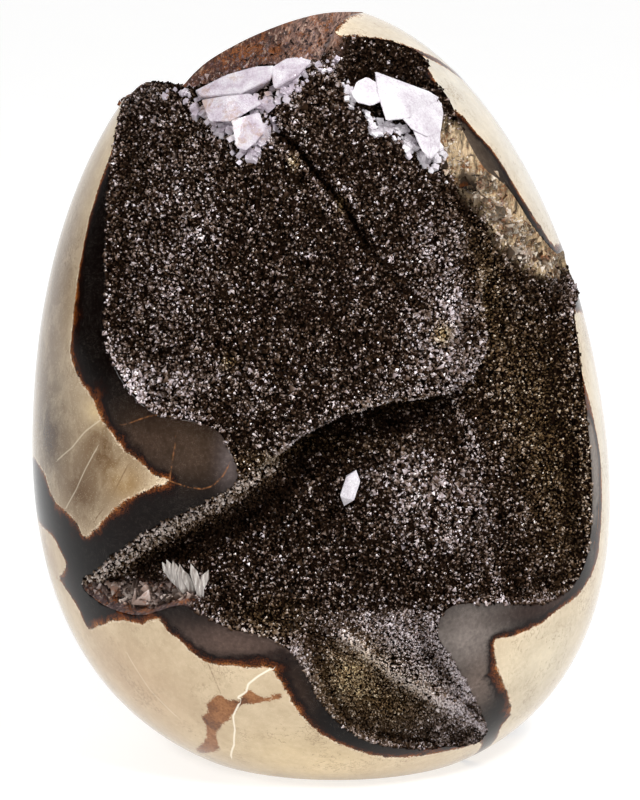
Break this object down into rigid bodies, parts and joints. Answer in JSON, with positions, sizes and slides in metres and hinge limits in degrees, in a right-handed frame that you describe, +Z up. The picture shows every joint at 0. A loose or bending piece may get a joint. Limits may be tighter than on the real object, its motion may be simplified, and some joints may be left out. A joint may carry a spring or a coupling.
{
  "type": "septarian nodule",
  "caption": "Polished egg of septarian stone with a flat base, opened into crystal-lined hollows at its front and top.",
  "frame": {"origin": "under the middle of the egg, on its flat base", "axes": "+Z up through the egg, -Y out of the open front, +X to the right as seen from the front"},
  "size_m": [0.1012, 0.0946, 0.1294],
  "materials": {
    "polished_stone": "polished cream and brown stone with dark calcite veins",
    "dark_druse": "sparkling crust of fine dark crystals",
    "clear_calcite": "translucent calcite",
    "white_calcite": "white calcite with bright cleavage faces"
  },
  "bodies": {
    "root": {"nodule": "polished_stone", "druse_crust": "dark_druse", "clear_calcite": "clear_calcite", "white_calcite": "white_calcite", "calcite_blades": "white_calcite", "calcite_point": "white_calcite"}
  },
  "joints": []
}
